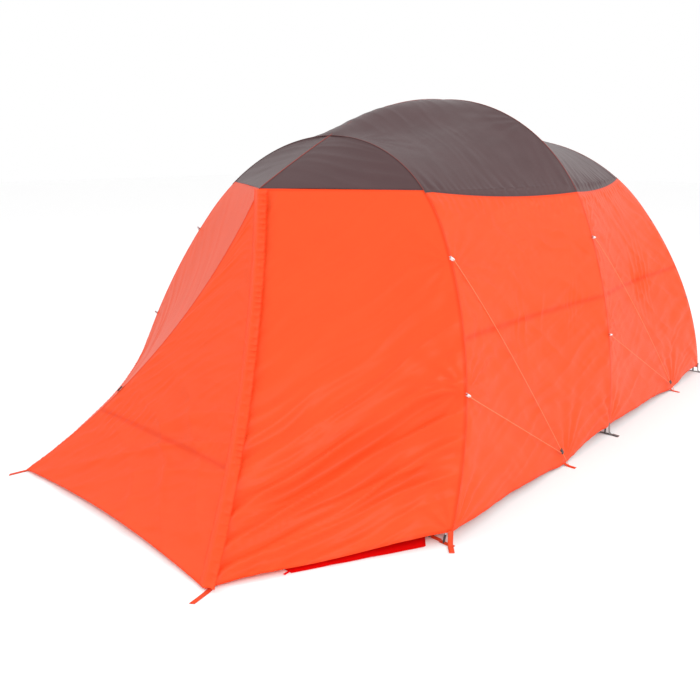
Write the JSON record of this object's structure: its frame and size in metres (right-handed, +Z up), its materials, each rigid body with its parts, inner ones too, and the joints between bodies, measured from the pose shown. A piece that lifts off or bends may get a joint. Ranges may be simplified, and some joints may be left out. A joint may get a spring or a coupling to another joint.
{
  "type": "tunnel tent",
  "caption": "Hoop-pole tunnel tent with a ridge pole, orange and grey fly, zipped front porch door, hung inner tent with floor tray, webbing stake points and guylines.",
  "frame": {"origin": "on the ground at the middle of the tent box", "axes": "+Z up, the porch door faces -Y, +X to the right of someone facing the door"},
  "size_m": [2.894, 4.77, 2.0799],
  "materials": {
    "pole_alloy": "anodised",
    "elastic_cord": "woven",
    "dark_plastic": "moulded",
    "fly_grey": "coated ripstop",
    "fly_orange": "coated ripstop",
    "zip_orange": "coil zip",
    "zip_metal": "plated",
    "reflective_tab": "reflective webbing",
    "guyline_cord": "braided",
    "webbing_orange": "webbing",
    "floor_grey": "coated",
    "inner_mesh": "mesh",
    "inner_grey": "woven",
    "mat_red": "coated"
  },
  "bodies": {
    "tent": {"crossing_clips": "dark_plastic", "door_tie_loop": "webbing_orange", "door_tie_toggle": "dark_plastic", "fly_pole_ties": "dark_plastic", "foot_straps_left": "webbing_orange", "foot_straps_right": "webbing_orange", "front_hoop_pole": "pole_alloy", "front_roof": "fly_grey", "front_wall_left": "fly_orange", "front_wall_right": "fly_orange", "front_zip_wall_side": "zip_orange", "guy_tabs_left": "reflective_tab", "guy_tabs_right": "reflective_tab", "guyline_front_left": "guyline_cord", "guyline_front_right": "guyline_cord", "guyline_rear_left": "guyline_cord", "guyline_rear_right": "guyline_cord", "hem_loops_left": "webbing_orange", "hem_loops_right": "webbing_orange", "inner_corner_straps": "webbing_orange", "inner_floor": "floor_grey", "inner_front_wall": "inner_grey", "inner_mesh_roof": "inner_mesh", "inner_rear_wall": "inner_grey", "inner_tent_clips": "dark_plastic", "inner_wall_left": "inner_grey", "inner_wall_right": "inner_grey", "middle_hoop_pole": "pole_alloy", "pole_ferrules": "pole_alloy", "pole_tips": "dark_plastic", "porch_corner_loops": "webbing_orange", "porch_mat": "mat_red", "porch_roof_left": "fly_grey", "porch_roof_right": "fly_grey", "porch_wall_left": "fly_orange", "porch_wall_right": "fly_orange", "rear_cap_left": "fly_grey", "rear_cap_right": "fly_grey", "rear_end_wall_left": "fly_orange", "rear_end_wall_right": "fly_orange", "rear_hem_loop": "webbing_orange", "rear_hoop_pole": "pole_alloy", "rear_roof": "fly_grey", "rear_wall_left": "fly_orange", "rear_wall_right": "fly_orange", "ridge_pole": "pole_alloy", "ridge_tips": "dark_plastic", "shock_cords": "elastic_cord"},
    "front_door": {"front_door": "fly_orange", "front_zip_door_side": "zip_orange", "door_storm_flap": "fly_orange"},
    "front_zip": {"front_zip_slider": "zip_metal", "front_zip_pull": "zip_metal"},
    "inner_door": {"inner_door": "inner_grey"},
    "inner_zip": {"inner_zip_slider": "zip_metal"},
    "tensioner_front_right": {"line_tensioner_front_right": "dark_plastic"},
    "tensioner_front_left": {"line_tensioner_front_left": "dark_plastic"},
    "tensioner_rear_right": {"line_tensioner_rear_right": "dark_plastic"},
    "tensioner_rear_left": {"line_tensioner_rear_left": "dark_plastic"}
  },
  "joints": [
    {"name": "front_door_swing", "type": "hinge", "parent": "tent", "child": "front_door", "pos_m": [-0.841, -2.315, 0], "axis": [-0.4051, -0.5276, -0.7467], "range_deg": [0, 100]},
    {"name": "front_zip_run", "type": "hinge", "parent": "tent", "child": "front_zip", "pos_m": [1.60595, -4.38154, 3.26512], "axis": [0.8594, 0.4984, 0.1141], "range_deg": [0, 26]},
    {"name": "inner_door_drop", "type": "hinge", "parent": "tent", "child": "inner_door", "pos_m": [0, -1.26818, 0.18213], "axis": [-1, 0, 0], "range_deg": [0, 66]},
    {"name": "inner_zip_run", "type": "slide", "parent": "tent", "child": "inner_zip", "axis": [0, 0.3396, 0.9406], "range_m": [0, 0.54]},
    {"name": "tensioner_front_right_slide", "type": "slide", "parent": "tent", "child": "tensioner_front_right", "axis": [0.1936, 0.494, -0.8476], "range_m": [0, 0.06]},
    {"name": "tensioner_front_left_slide", "type": "slide", "parent": "tent", "child": "tensioner_front_left", "axis": [-0.1936, 0.494, -0.8476], "range_m": [0, 0.06]},
    {"name": "tensioner_rear_right_slide", "type": "slide", "parent": "tent", "child": "tensioner_rear_right", "axis": [0.0897, 0.6795, -0.7282], "range_m": [0, 0.06]},
    {"name": "tensioner_rear_left_slide", "type": "slide", "parent": "tent", "child": "tensioner_rear_left", "axis": [-0.0897, 0.6795, -0.7282], "range_m": [0, 0.06]}
  ]
}
